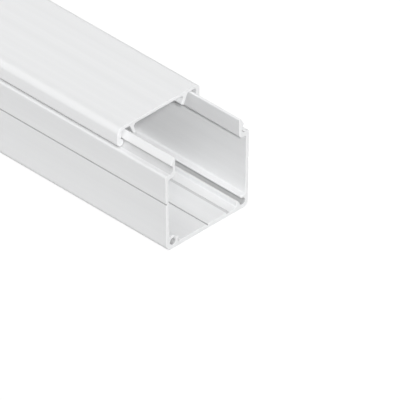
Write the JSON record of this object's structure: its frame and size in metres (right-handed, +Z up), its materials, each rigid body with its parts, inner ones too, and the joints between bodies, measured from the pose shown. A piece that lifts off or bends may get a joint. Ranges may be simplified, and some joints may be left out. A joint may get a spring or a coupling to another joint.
{
  "type": "aluminium cable trunking",
  "caption": "Extruded aluminium U-shaped cable trunking with screw ports in its bottom corners and a flat clip-on lid that slides along it.",
  "frame": {"origin": "middle of the flat underside of the trunking base", "axes": "+X along the trunking towards the end where the lid is set back, +Y across it, +Z up from the underside towards the lid"},
  "size_m": [1.027, 0.0462, 0.045],
  "materials": {
    "trunking_base": "natural satin anodised",
    "trunking_lid": "natural satin anodised"
  },
  "bodies": {
    "base": {"trunking_base": "trunking_base"},
    "lid": {"trunking_lid": "trunking_lid"}
  },
  "joints": [
    {"name": "lid_slide", "type": "slide", "parent": "base", "child": "lid", "axis": [1, 0, 0], "range_m": [-0.923, 0.977]}
  ]
}
